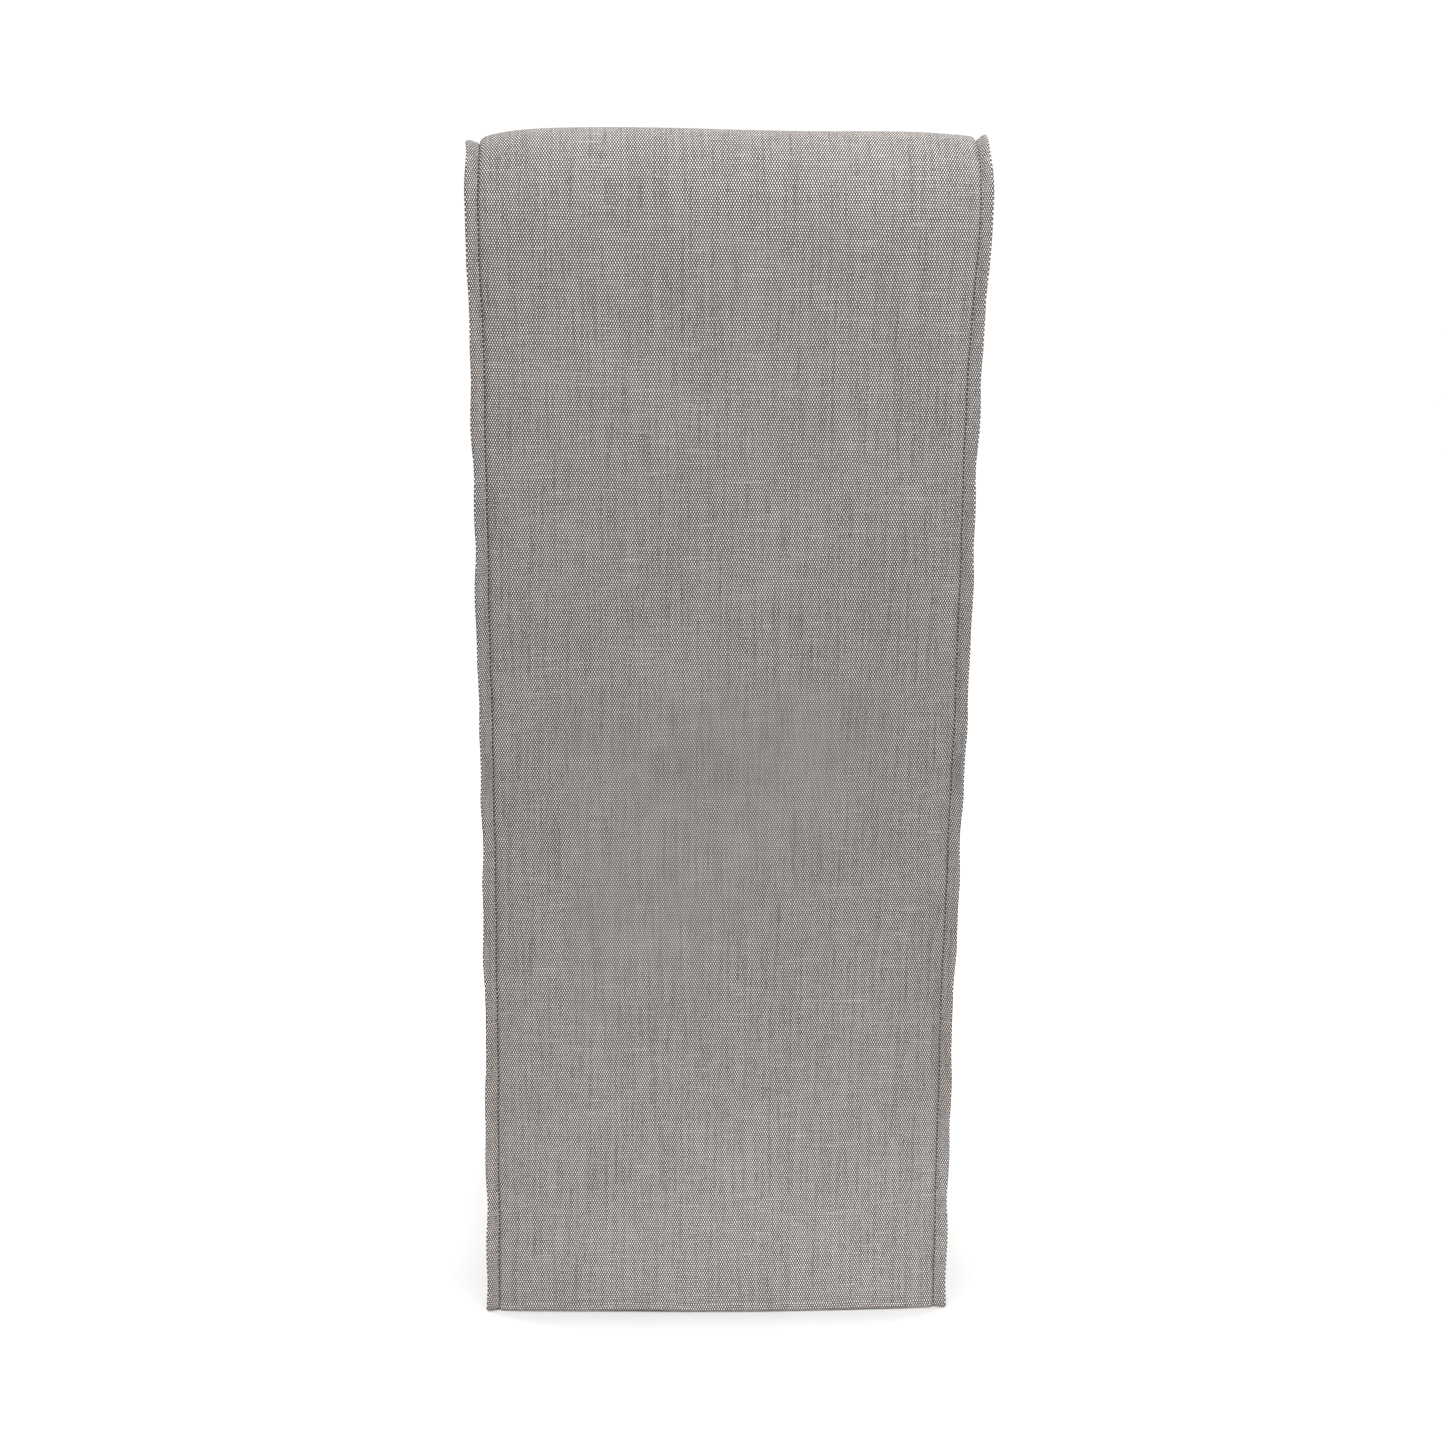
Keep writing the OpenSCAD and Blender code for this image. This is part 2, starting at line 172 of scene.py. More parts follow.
def back_lift(share, s, inset=0.0):
    """How far the cover stands off the outline. share is -1 at the left seam and 1 at the right."""
    away = np.abs(share)
    to_seam = HALF * (1 - away)
    drop = eased(s, DROP_KNOTS, DROP) * away ** eased(s, DROP_KNOTS, ROUNDNESS)
    fullness = eased(s, DROP_KNOTS, FULLNESS) * (1 - away**2)
    bow = HEM_BOW * (1 - away**2) * np.exp(-s / HEM_BOW_RISE)
    slack = ripple(share * HALF, s, SAG) * (1 - away**4)
    near_crest = np.exp(-(((s - S_CREST) / CREST_REACH) ** 2))
    crest = CREST_LOW + CREST_WAVE * np.sin(2 * math.pi * 2.45 * share * HALF)
    crest = crest - RIGHT_CREST_RISE * np.clip(share, 0, 1) ** 12
    pinch = PINCH * (1 + 0.5 * near_crest) * np.exp(-to_seam / PINCH_REACH)
    return fullness + bow + slack - drop - crest * near_crest - pinch - inset


def back_point(share, s, lift):
    """Points of the cover over the back, with x across, from shares of the half width."""
    at, out = on_outline(s)
    width = np.where(share < 0, half_width(s, -1), half_width(s, 1))
    yz = at + out * lift[..., None]
    return np.stack([share * width, yz[..., 0], yz[..., 1]], axis=-1)


def seam_point(side, s):
    """The seam between the back and its side panel."""
    share = np.full(np.shape(s), float(side))
    return back_point(share, s, back_lift(share, s))


# ---- Meshes ----


def new_object(name, vertices, faces, uvs=None, smooth=True):
    mesh = bpy.data.meshes.new(name)
    mesh.from_pydata(np.asarray(vertices, float).tolist(), [], [tuple(f) for f in faces])
    if uvs is not None:
        layer = mesh.uv_layers.new(name="Cloth")
        loops = np.empty(len(mesh.loops), np.int32)
        mesh.loops.foreach_get("vertex_index", loops)
        layer.data.foreach_set("uv", np.asarray(uvs, np.float32)[loops].ravel())
    mesh.polygons.foreach_set("use_smooth", [smooth] * len(mesh.polygons))
    mesh.update()
    o = bpy.data.objects.new(name, mesh)
    bpy.context.collection.objects.link(o)
    return o


def grid_faces(rows, columns, flip, closed=False):
    across = columns if closed else columns - 1
    r, c = np.meshgrid(np.arange(rows - 1), np.arange(across), indexing="ij")
    n = (c + 1) % columns
    low, high = r * columns, (r + 1) * columns
    quads = np.stack([low + c, low + n, high + n, high + c], axis=-1).reshape(-1, 4)
    return quads[:, ::-1] if flip else quads


def cloth_sheet(name, points, uv, thick, flip=False, keep=None):
    """A sheet from a grid of points, given body by a Solidify modifier on its inner side."""
    rows, columns = points.shape[:2]
    faces = grid_faces(rows, columns, flip)
    if keep is not None:
        faces = faces[keep.ravel()]
    o = new_object(name, points.reshape(-1, 3), faces, uv.reshape(-1, 2))
    body = o.modifiers.new("thickness", "SOLIDIFY")
    body.thickness = thick
    body.offset = -1
    return o


def loft(name, rings, uv, flip=False):
    """A closed tube through rings of points, with flat ends."""
    rows, columns = rings.shape[:2]
    faces = [tuple(f) for f in grid_faces(rows, columns, flip, closed=True)]
    start = tuple(range(columns))
    end = tuple((rows - 1) * columns + i for i in range(columns))
    faces += [start, end[::-1]] if flip else [start[::-1], end]
    return new_object(name, rings.reshape(-1, 3), faces, uv.reshape(-1, 2))


def join(name, objects):
    bpy.ops.object.select_all(action="DESELECT")
    for o in objects:
        o.select_set(True)
    bpy.context.view_layer.objects.active = objects[0]
    bpy.ops.object.join()
    objects[0].name = name
    objects[0].data.name = name
    return objects[0]


def spaced(length, step):
    return np.linspace(0, length, max(2, round(length / step) + 1))


EDGE_STEPS = np.array([0, 0.6, 1.3, 2.1, 3.2, 4.8, 7, 10, 14, 19, 25, 32, 40]) * MM


def fine_at_ends(length, step, start=True):
    """Distances from 0 to length, close together near the seams."""
    low = EDGE_STEPS if start else EDGE_STEPS[:1]
    high = length - EDGE_STEPS[::-1]
    inner = spaced(high[0] - low[-1], step)[1:-1] + low[-1]
    return np.concatenate([low, inner, high])


HEM_FOLD = 7.5 * MM


def hem_relief(up):
    """The turned-up hem is a little thicker, and its stitches pull the cloth in."""
    fold = 1.0 * MM / (1 + np.exp((up - HEM_FOLD) / (0.3 * MM)))
    stitch = 1.3 * MM * np.exp(-(((up - HEM_FOLD) / (0.8 * MM)) ** 2))
    return fold - stitch


HEM_ROWS = np.array([0, 1.8, 4, 5.8, 6.7, 7.5, 8.3, 9.4, 11, 14, 18]) * MM
HEM_STITCH_ROW = 5
seams = []


def mark_hem(points, outward):
    """Notes where the hem of a sheet is sewn, for the stitching."""
    path = points[HEM_STITCH_ROW] + np.array(outward) * 0.25 * MM
    seams.append((path, np.tile(np.array(outward, float), (len(path), 1))))


# ---- Camera, light and floor ----

CAMERA_AWAY = 2.184
CAMERA_UP = 1.028
CAMERA_AZIMUTH = math.radians(-2.1)
CAMERA_PITCH = math.radians(12.0)
CAMERA_ROLL = math.radians(0.45)
LENS = 62.3


def add_camera():
    data = bpy.data.cameras.new("camera")
    data.sensor_width = 36
    data.lens = LENS
    o = bpy.data.objects.new("camera", data)
    bpy.context.collection.objects.link(o)
    across, back = CAMERA_AWAY * math.sin(CAMERA_AZIMUTH), CAMERA_AWAY * math.cos(CAMERA_AZIMUTH)
    o.matrix_world = (
        Matrix.Translation((across, HEM_Y - back, CAMERA_UP))
        @ Matrix.Rotation(CAMERA_AZIMUTH, 4, "Z")
        @ Matrix.Rotation(math.pi / 2 - CAMERA_PITCH, 4, "X")
        @ Matrix.Rotation(CAMERA_ROLL, 4, "Z")
    )
    bpy.context.scene.camera = o


lights = []


def add_light(name, size, power, place, aim, on_chair, on_floor):
    data = bpy.data.lights.new(name, "AREA")
    data.shape = "RECTANGLE"
    data.size = size[0]
    data.size_y = size[1]
    data.energy = power
    o = bpy.data.objects.new(name, data)
    bpy.context.collection.objects.link(o)
    o.location = place
    direction = np.array(aim, float) - np.array(place, float)
    o.rotation_euler = Vector(direction).to_track_quat("-Z", "Y").to_euler()
    o.visible_camera = False
    lights.append((o, on_chair, on_floor))


def add_studio():
    world = bpy.data.worlds.new("studio")
    world.use_nodes = True
    back = world.node_tree.nodes["Background"]
    back.inputs["Color"].default_value = (1, 1, 1, 1)
    back.inputs["Strength"].default_value = 1.03
    scene = bpy.context.scene
    scene.world = world
    scene.view_settings.view_transform = "Standard"
    add_light("overhead", (0.5, 0.5), 15, (0.0, -0.34, 3.1), (0, -0.3, 0), True, True)
    add_light("behind", (0.8, 0.6), 12, (0.3, -0.95, 1.75), (0, -0.3, 0.9), True, False)
    add_light("low", (0.5, 0.06), 0.55, (0.05, -0.47, 0.04), (0, -0.22, 0.03), True, False)
    add_light("front", (1.6, 1.6), 13, (0.9, 2.5, 2.3), (0, 0.1, 0.5), True, False)
    add_light("wash", (3.0, 0.1), 32, (0.0, HEM_Y - 0.15, 3.2), (0, HEM_Y - 0.15, 0), False, True)
    for side in SIDES.values():
        add_light("side_wash", (0.7, 0.7), 9, (1.3 * side, 0.9, 1.8), (0.3 * side, 0, 0), False, True)

    corners = [(-40, -40, 0), (40, -40, 0), (40, 40, 0), (-40, 40, 0)]
    floor = new_object("floor", corners, [(0, 1, 2, 3)], smooth=False)
    paint = bpy.data.materials.new("floor_paint")
    paint.use_nodes = True
    shader = paint.node_tree.nodes["Principled BSDF"]
    shader.inputs["Base Color"].default_value = (0.98, 0.98, 0.98, 1)
    shader.inputs["Roughness"].default_value = 0.9
    shader.inputs["Specular IOR Level"].default_value = 0.0
    floor.data.materials.append(paint)


# ---- Materials ----


class Nodes:
    """Shader nodes of one material, made and linked by short calls."""

    def __init__(self, name):
        self.material = bpy.data.materials.new(name)
        self.material.use_nodes = True
        self.tree = self.material.node_tree
        self.shader = self.tree.nodes["Principled BSDF"]

    def add(self, kind, **settings):
        node = self.tree.nodes.new(kind)
        for key, value in settings.items():
            setattr(node, key, value)
        return node

    def feed(self, socket, value):
        if hasattr(value, "is_output"):
            self.tree.links.new(value, socket)
        else:
            socket.default_value = value

    def maths(self, operation, *values, clamp=False):
        node = self.add("ShaderNodeMath", operation=operation, use_clamp=clamp)
        for socket, value in zip(node.inputs, values):
            self.feed(socket, value)
        return node.outputs[0]

    def vector(self, x, y, z=0.0):
        node = self.add("ShaderNodeCombineXYZ")
        for socket, value in zip(node.inputs, (x, y, z)):
            self.feed(socket, value)
        return node.outputs[0]

    def noise(self, where, scale=1.0, detail=2.0, rough=0.5):
        node = self.add("ShaderNodeTexNoise")
        self.feed(node.inputs["Vector"], where)
        node.inputs["Scale"].default_value = scale
        node.inputs["Detail"].default_value = detail
        node.inputs["Roughness"].default_value = rough
        return node.outputs["Fac"]

    def white(self, where):
        node = self.add("ShaderNodeTexWhiteNoise", noise_dimensions="1D")
        self.feed(node.inputs["W"], where)
        return node.outputs["Value"]

    def remap(self, value, low, high, to_low=0.0, to_high=1.0, smooth=True):
        node = self.add("ShaderNodeMapRange", interpolation_type="SMOOTHSTEP" if smooth else "LINEAR")
        for socket, v in zip(node.inputs, (value, low, high, to_low, to_high)):
            self.feed(socket, v)
        return node.outputs[0]

    def mix(self, share, a, b):
        node = self.add("ShaderNodeMix", data_type="RGBA")
        self.feed(node.inputs["Factor"], share)
        self.feed(node.inputs["A"], a)
        self.feed(node.inputs["B"], b)
        return node.outputs["Result"]

    def bump(self, height, distance, strength=1.0):
        node = self.add("ShaderNodeBump")
        self.feed(node.inputs["Height"], height)
        node.inputs["Distance"].default_value = distance
        node.inputs["Strength"].default_value = strength
        self.feed(self.shader.inputs["Normal"], node.outputs[0])


def grey(r, g, b):
    """A linear colour from 8-bit sRGB values."""
    parts = [c / 255 for c in (r, g, b)]
    return (*[c / 12.92 if c <= 0.04045 else ((c + 0.055) / 1.055) ** 2.4 for c in parts], 1.0)


# The gap colour is partly the weft's darker tone and partly painted shade between the yarns; the float
# colour is the warp's tone with a painted highlight.
WEFT_AND_GAP_SHADE = (0.050, 0.046, 0.043, 1.0)
WARP_AND_HIGHLIGHT = (0.860, 0.803, 0.765, 1.0)
TONE = 0.90
WARP_PITCH = 1.08 * MM
WEFT_PITCH = 2.12 * MM


def cover_cloth():
    """A slubbed plain weave: light warp floats in a brick pattern over darker, thicker weft. The near-black
    between the floats is partly the weft's own tone and partly painted shade in the gaps between yarns, and
    the near-white floats are partly painted highlight.
    """
    n = Nodes("cover_linen")
    uv = n.add("ShaderNodeUVMap", uv_map="Cloth")
    apart = n.add("ShaderNodeSeparateXYZ")
    n.feed(apart.inputs[0], uv.outputs[0])
    u, v = apart.outputs[0], apart.outputs[1]
    drift = n.maths("MULTIPLY", n.maths("SUBTRACT", n.noise(uv.outputs[0], 34), 0.5), 1.6 * MM)
    warp = n.maths("DIVIDE", n.maths("ADD", u, drift), WARP_PITCH)
    weft = n.maths("DIVIDE", n.maths("ADD", v, n.maths("MULTIPLY", drift, 1.3)), WEFT_PITCH)
    over = n.maths("MULTIPLY", n.maths("COSINE", n.maths("MULTIPLY", warp, math.pi)),
                   n.maths("COSINE", n.maths("MULTIPLY", weft, math.pi)))
    warp_id = n.maths("ROUND", warp)
    weft_id = n.maths("ROUND", weft)

    own_warp = n.maths("MULTIPLY", n.white(warp_id), 90.0)
    own_weft = n.maths("MULTIPLY", n.white(weft_id), 90.0)
    yarn = n.noise(n.vector(own_warp, n.maths("MULTIPLY", v, 20.0)), 1, 3, 0.6)
    pick = n.noise(n.vector(n.maths("MULTIPLY", u, 30.0), own_weft), 1, 3, 0.6)
    grain = n.white(n.maths("ADD", n.maths("MULTIPLY", warp_id, 0.731), n.maths("MULTIPLY", weft_id, 1.377)))
    streak = n.noise(n.vector(n.maths("MULTIPLY", u, 330.0), n.maths("MULTIPLY", v, 10.0)), 1, 2, 0.5)
    slub = n.noise(n.vector(n.maths("MULTIPLY", u, 22.0), n.maths("MULTIPLY", v, 420.0), 4.0), 1, 2, 0.6)
    cloud = n.noise(uv.outputs[0], 11, 3, 0.55)

    bright = 0.80
    for value, low, high, least, most in (
        (yarn, 0.3, 0.7, -0.26, 0.26),
        (grain, 0.0, 1.0, -0.14, 0.14),
        (streak, 0.3, 0.7, -0.17, 0.19),
    ):
        bright = n.maths("ADD", bright, n.remap(value, low, high, least, most, False))
    light = n.maths("MULTIPLY", n.remap(over, 0.05, 0.85, 0.0, 1.40), bright)
    for value, low, high, least, most in (
        (pick, 0.3, 0.7, -0.035, 0.035),
        (slub, 0.60, 0.72, 0.0, 0.13),
        (cloud, 0.3, 0.7, -0.025, 0.025),
    ):
        light = n.maths("ADD", light, n.remap(value, low, high, least, most, False))
    # Painted shade and highlight: the weave pattern mixes the near-black gap colour with the near-white
    # float colour.
    colour = n.mix(n.maths("MULTIPLY", light, TONE, clamp=True), WEFT_AND_GAP_SHADE, WARP_AND_HIGHLIGHT)
    n.feed(n.shader.inputs["Base Color"], colour)
    n.shader.inputs["Roughness"].default_value = 0.92
    n.shader.inputs["Specular IOR Level"].default_value = 0.18
    n.shader.inputs["Sheen Weight"].default_value = 0.12
    n.shader.inputs["Sheen Roughness"].default_value = 0.6
    n.bump(over, 0.4 * MM, 1.0)
    return n.material


def thread_material():
    n = Nodes("cover_thread")
    where = n.add("ShaderNodeTexCoord").outputs["Object"]
    tone = n.noise(where, 900, 2)
    n.feed(n.shader.inputs["Base Color"], n.mix(tone, grey(120, 115, 111), grey(176, 171, 166)))
    n.shader.inputs["Roughness"].default_value = 0.7
    n.bump(tone, 0.1 * MM)
    return n.material


def wood(name, axis, dark, light):
    """Grain that runs along one axis, with pores and slow rings."""
    n = Nodes(name)
    where = n.add("ShaderNodeTexCoord").outputs["Object"]
    along = n.add("ShaderNodeMapping")
    n.feed(along.inputs["Vector"], where)
    along.inputs["Scale"].default_value = [6 if k == axis else 90 for k in range(3)]
    rings = n.noise(along.outputs[0], 1.1, 4, 0.6)
    fine = n.add("ShaderNodeMapping")
    n.feed(fine.inputs["Vector"], where)
    fine.inputs["Scale"].default_value = [30 if k == axis else 900 for k in range(3)]
    pores = n.noise(fine.outputs[0], 1, 3, 0.6)
    tone = n.maths("ADD", n.remap(rings, 0.3, 0.7), n.remap(pores, 0.3, 0.7, -0.25, 0.25, False), clamp=True)
    n.feed(n.shader.inputs["Base Color"], n.mix(tone, dark, light))
    n.feed(n.shader.inputs["Roughness"], n.remap(pores, 0.2, 0.8, 0.75, 0.5, False))
    n.bump(pores, 0.3 * MM, 0.5)
    return n.material


def plain_weave(name, dark, light, pitch, rough=0.9, stripe=None):
    """A simple even weave on the Cloth map, with an optional stripe across it."""
    n = Nodes(name)
    uv = n.add("ShaderNodeUVMap", uv_map="Cloth").outputs[0]
    apart = n.add("ShaderNodeSeparateXYZ")
    n.feed(apart.inputs[0], uv)
    turn = math.pi / pitch
    over = n.maths("MULTIPLY", n.maths("COSINE", n.maths("MULTIPLY", apart.outputs[0], turn)),
                   n.maths("COSINE", n.maths("MULTIPLY", apart.outputs[1], turn)))
    uneven = n.remap(n.noise(uv, 60, 3), 0.3, 0.7, -0.25, 0.25, False)
    colour = n.mix(n.maths("ADD", n.remap(over, -0.8, 0.8), uneven, clamp=True), dark, light)
    if stripe is not None:
        band = n.maths("COSINE", n.maths("MULTIPLY", apart.outputs[0], 2 * math.pi / stripe[1]))
        colour = n.mix(n.remap(band, 0.86, 0.9), colour, stripe[0])
    n.feed(n.shader.inputs["Base Color"], colour)
    n.shader.inputs["Roughness"].default_value = rough
    n.bump(over, 0.15 * MM, 0.8)
    return n.material


def soft_filling(name, dark, light, scale, depth):
    """Foam cells or matted fibre."""
    n = Nodes(name)
    where = n.add("ShaderNodeTexCoord").outputs["Object"]
    cells = n.add("ShaderNodeTexVoronoi", feature="F1")
    n.feed(cells.inputs["Vector"], where)
    cells.inputs["Scale"].default_value = scale
    uneven = n.remap(n.noise(where, 25, 3), 0.3, 0.7, -0.2, 0.2, False)
    tone = n.maths("ADD", cells.outputs["Distance"], uneven, clamp=True)
    n.feed(n.shader.inputs["Base Color"], n.mix(tone, light, dark))
    n.shader.inputs["Roughness"].default_value = 0.95
    n.bump(cells.outputs["Distance"], depth, 0.8)
    return n.material


def hard_finish(name, colour, rough, metal, grain, scale):
    """Nylon or zinc plate: fine grain and slight wear in the gloss."""
    n = Nodes(name)
    where = n.add("ShaderNodeTexCoord").outputs["Object"]
    mottle = n.noise(where, scale, 4, 0.6)
    lighter = tuple(min(1, c * 1.35 + 0.01) for c in colour[:3]) + (1.0,)
    n.feed(n.shader.inputs["Base Color"], n.mix(mottle, colour, lighter))
    n.feed(n.shader.inputs["Roughness"], n.remap(mottle, 0.3, 0.7, rough - 0.08, rough + 0.12, False))
    n.shader.inputs["Metallic"].default_value = metal
    n.bump(mottle, grain, 0.4)
    return n.material


# ---- The cover over the back ----

COVER = 1.4 * MM
ACROSS_STEP = 7 * MM
UP_STEP = 5 * MM


def across_shares():
    return fine_at_ends(2 * HALF, ACROSS_STEP) / HALF - 1


def top_seam_dip(s):
    return 1.2 * MM * np.exp(-(((s - S_TOP_SEAM) / (2 * MM)) ** 2))


def outside_back():
    rows = np.concatenate([HEM_ROWS[:-1], HEM_ROWS[-1] + spaced(S_TOP_SEAM - HEM_ROWS[-1], UP_STEP)])
    share, s = np.meshgrid(across_shares(), rows)
    points = back_point(share, s, back_lift(share, s) + hem_relief(s) - top_seam_dip(s))
    dip = ripple(share * HALF, 0, [(0.7 * MM, 4.2, 0, 0.8), (0.35 * MM, 9, 0, 2.1)]) * (1 - share**4)
    points[..., 2] -= (dip + 0.5 * MM) * np.exp(-s / 0.05)
    uv = np.stack([share * HALF, s], axis=-1)
    mark_hem(points, (0, -1, 0))
    return cloth_sheet("outside_back_cloth", points, uv, COVER)


def inside_back():
    rows = S_TOP_SEAM + fine_at_ends(S_TUCK - S_TOP_SEAM, UP_STEP)
    share, s = np.meshgrid(across_shares(), rows)
    points = back_point(share, s, back_lift(share, s) - top_seam_dip(s))
    uv = np.stack([share * HALF, s], axis=-1)
    return cloth_sheet("inside_back_cloth", points, uv, COVER)


def back_gusset(name, side, inset=0.0, thick=None):
    """A side of the back, from the seat up to the crest, between the rear and front seams."""
    middle = (S_CREST + S_SHOULDER) / 2 + 0.03
    rise = np.linspace(0, 1, 110)[:, None]
    near = np.array([0, 0.012, 0.03, 0.06, 0.11])
    across = np.concatenate([near, np.linspace(0.2, 0.8, 7), 1 - near[::-1]])[None, :]
    start = S_WAIST - 9 * MM
    rear = seam_point(side, start + rise * (middle - start))
    fore = seam_point(side, S_TUCK - rise * (S_TUCK - middle))
    share = across[..., None]
    points = rear * (1 - share) + fore * share
    width = np.linalg.norm(fore - rear, axis=-1)
    to_seam = np.minimum(across, 1 - across) * width
    bulge = 3 * MM * (1 - np.exp(-to_seam / (14 * MM))) * np.clip(width / 0.06, 0, 1)
    pinch = -1.0 * MM + bulge
    base = 1.2 * MM * np.exp(-rise * 0.6 / (8 * MM))
    points[..., 0] += side * (pinch - base - inset)
    uv = points[..., 1:3]
    return cloth_sheet(name, points, uv, thick or COVER, flip=side < 0)


# ---- Flanges ----

EDGE_TILT = math.radians(22)
FOLD = 1.5 * MM
ROOT = 0.3 * MM
STITCH_IN = 1.9 * MM
CURL = 2.6 * MM


def flange_section(width):
    """The cross-section, along its width and off its middle: pinched at the seam, round at the fold."""
    there = np.array([0, 0.03, 0.07, 0.13, 0.25, 0.6, 0.88, 0.96, 1.0])
    out = np.concatenate([there, there[-2::-1]])
    half = ROOT + (FOLD - ROOT) * np.sqrt(np.clip(out / 0.13, 0, 1))
    half *= np.sqrt(np.clip(1 - (np.clip(out - 0.88, 0, 1) / 0.12) ** 2, 0, 1))
    sign = np.where(np.arange(len(out)) < 8, 1, -1)
    return out * width, half * sign


def flange(name, seam, out, up, run, width, tilt, flip):
    """A folded strip that stands off a seam, and its stitches. out and up span its cross-section's plane."""
    across, off = flange_section(1.0)
    sway = ripple(0, run, FLANGE_WAVES)
    tilt = tilt + ripple(0, run, [(0.07, 0, 4.1, 1.0), (0.05, 0, 11.5, 0.2)])
    cos, sin = np.cos(tilt)[:, None], np.sin(tilt)[:, None]

    def placed(spread, thick):
        curl = CURL * (spread / width[:, None]) ** 4
        sideways = (spread * cos - thick * sin)[..., None]
        standing = (spread * sin + thick * cos - curl)[..., None]
        return seam[:, None, :] + out[:, None, :] * sideways + up[:, None, :] * standing

    spread = (width + sway)[:, None] * across[None, :]
    rings = placed(spread, off[None, :])
    uv = np.stack([spread, np.broadcast_to(run[:, None], spread.shape)], axis=-1)
    strip = loft(name, rings, uv, flip)
    path = placed(np.full((len(run), 1), STITCH_IN), np.full((1, 1), FOLD))[:, 0]
    normal = up * cos - out * sin
    seams.append((path, normal))
    return strip


def back_flange(name, side):
    run = spaced(S_TUCK - 2 * MM, 4 * MM)
    seam = seam_point(side, run)
    _, normal = on_outline(run)
    up = np.stack([np.zeros(len(run)), normal[:, 0], normal[:, 1]], axis=1)
    out = np.tile([float(side), 0, 0], (len(run), 1))
    width = eased(run, DROP_KNOTS, FLANGE_WIDTH)
    tilt = eased(run, DROP_KNOTS, FLANGE_TILT[side])
    return flange(name, seam + up * 0.6 * MM, out, up, run, width, tilt, side > 0)


# ---- Skirts ----

SKIRT_EDGE_DIP = 2.2 * MM
SKIRT_FULLNESS = 7 * MM
SKIRT_INSET = 0.5 * MM
CORNER_WIDTH = 11 * MM
CORNER_TILT = math.radians(40)


def hang(up, reach):
    """How loosely the cloth hangs: nothing at the seat seam, everything at the hem."""
    return reach * (1 - np.clip(up / SEAM_Z, 0, 1)) ** 1.15


def skirt_rows():
    last = HEM_ROWS[-1]
    return np.concatenate([HEM_ROWS[:-1], last + fine_at_ends(SEAM_Z - HEM_Z - last, 8 * MM, False)])


def edge_dip(distance):
    return SKIRT_EDGE_DIP * np.exp(-distance / (3 * MM)) + 1.2 * MM * np.exp(-distance / (12 * MM))


def seam_dip(height):
    return 1.5 * MM * np.exp(-(SEAM_Z - HEM_Z - height) / (3 * MM))


def side_skirt(name, side):
    up = skirt_rows()
    low = slice(2 * CURVE_STEPS + 1)
    run_of_height = np.interp(HEM_Z + up, outline[low, 1], outline_run[low])
    rear = seam_point(side, run_of_height)
    share = fine_at_ends(FRONT_Y - HEM_Y, 9 * MM) / (FRONT_Y - HEM_Y)
    share = share[None, :]
    y = rear[:, 1][:, None] * (1 - share) + (FRONT_Y - SKIRT_EDGE_DIP) * share
    along = share * (FRONT_Y - HEM_Y)
    to_seam = np.minimum(along, FRONT_Y - HEM_Y - along)
    height = np.broadcast_to(up[:, None], y.shape)
    waves = [(0.55, 2.3, 0.25, 0.6), (0.3, 4.4, -0.4, 2.4), (0.15, 7.3, 0.5, 0.9)]
    window = np.sin(math.pi * share) ** 0.8
    fold = hang(height, SKIRT_FULLNESS) * window * (0.9 + ripple(along + 0.4 * side, height, waves))
    base = rear[:, 0][:, None] * side * (1 - share) + (HALF - SKIRT_INSET) * share
    x = base + fold - edge_dip(to_seam) + SKIRT_EDGE_DIP + hem_relief(height) - seam_dip(height)
    z = HEM_Z + height - hang(height, 1.0) * (0.2 * MM) * (1 + ripple(along, 0, [(1, 3.1, 0, 0.5)]))
    points = np.stack([x * side, y, z], axis=-1)
    uv = np.stack([y, z], axis=-1)
    mark_hem(points, (side, 0, 0))
    return cloth_sheet(name, points, uv, COVER, flip=side < 0)


def front_skirt():
    up = skirt_rows()
    share, height = np.meshgrid(across_shares(), up)
    x = share * (HALF - SKIRT_INSET)
    to_seam = HALF * (1 - np.abs(share))
    waves = ripple(x, height, [(0.5, 2.1, 0.3, 1.5), (0.32, 4.7, -0.3, 0.2), (0.15, 8.0, 0.6, 2.9)])
    fold = hang(height, SKIRT_FULLNESS) * (1 - share**4) * (0.9 + waves)
    y = FRONT_Y + fold - edge_dip(to_seam) + hem_relief(height) - seam_dip(height)
    z = HEM_Z + height - hang(height, 1.0) * (0.2 * MM) * (1 + ripple(x, 0, [(1, 3.4, 0, 1.5)]))
    points = np.stack([x, y, z], axis=-1)
    mark_hem(points, (0, 1, 0))
    return cloth_sheet("front_skirt_cloth", points, np.stack([x, z], axis=-1), COVER, flip=True)


def corner_flange(name, side):
    run = spaced(SEAM_Z - 2 * MM - HEM_Z, 5 * MM)
    seam = np.stack([
        np.full(len(run), side * (HALF - 1.5 * MM)),
        np.full(len(run), FRONT_Y - SKIRT_EDGE_DIP - 0.5 * MM),
        HEM_Z + run,
    ], axis=1)
    out = np.tile([float(side), 0, 0], (len(run), 1))
    up = np.tile([0, 1.0, 0], (len(run), 1))
    return flange(name, seam, out, up, run, np.full(len(run), CORNER_WIDTH), CORNER_TILT, side < 0)


# ---- Seat ----

SEAT_RISE = 13 * MM
SEAT_FLANGE_WIDTH = 11.5 * MM
MITRE = 12 * MM
CREASE_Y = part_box("inside_back_panel")[1].y + 2 * MM


